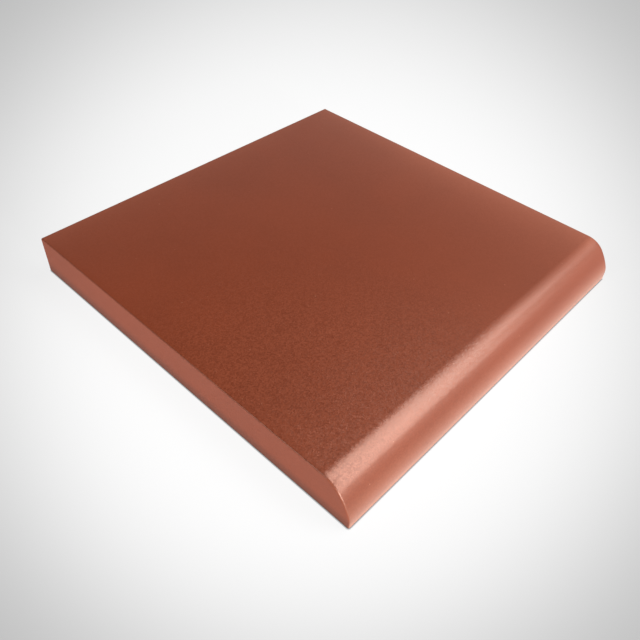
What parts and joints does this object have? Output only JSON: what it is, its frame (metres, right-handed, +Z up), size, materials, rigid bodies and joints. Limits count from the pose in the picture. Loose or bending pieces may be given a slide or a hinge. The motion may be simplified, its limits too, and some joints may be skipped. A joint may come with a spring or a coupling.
{
  "type": "bullnose tile",
  "caption": "Square unglazed fired-clay tile whose front edge is rounded over into a nose, to finish the edge of a step, sill or worktop.",
  "frame": {"origin": "centre of the underside, on the floor that the tile lies on", "axes": "+X along the nose, -Y the way the nose faces, +Z up out of the flat top"},
  "size_m": [0.15, 0.15, 0.015],
  "materials": {
    "fired_clay": "unglazed red-brown fired clay, smooth with a satin sheen"
  },
  "bodies": {
    "root": {"bullnose_tile": "fired_clay"}
  },
  "joints": []
}
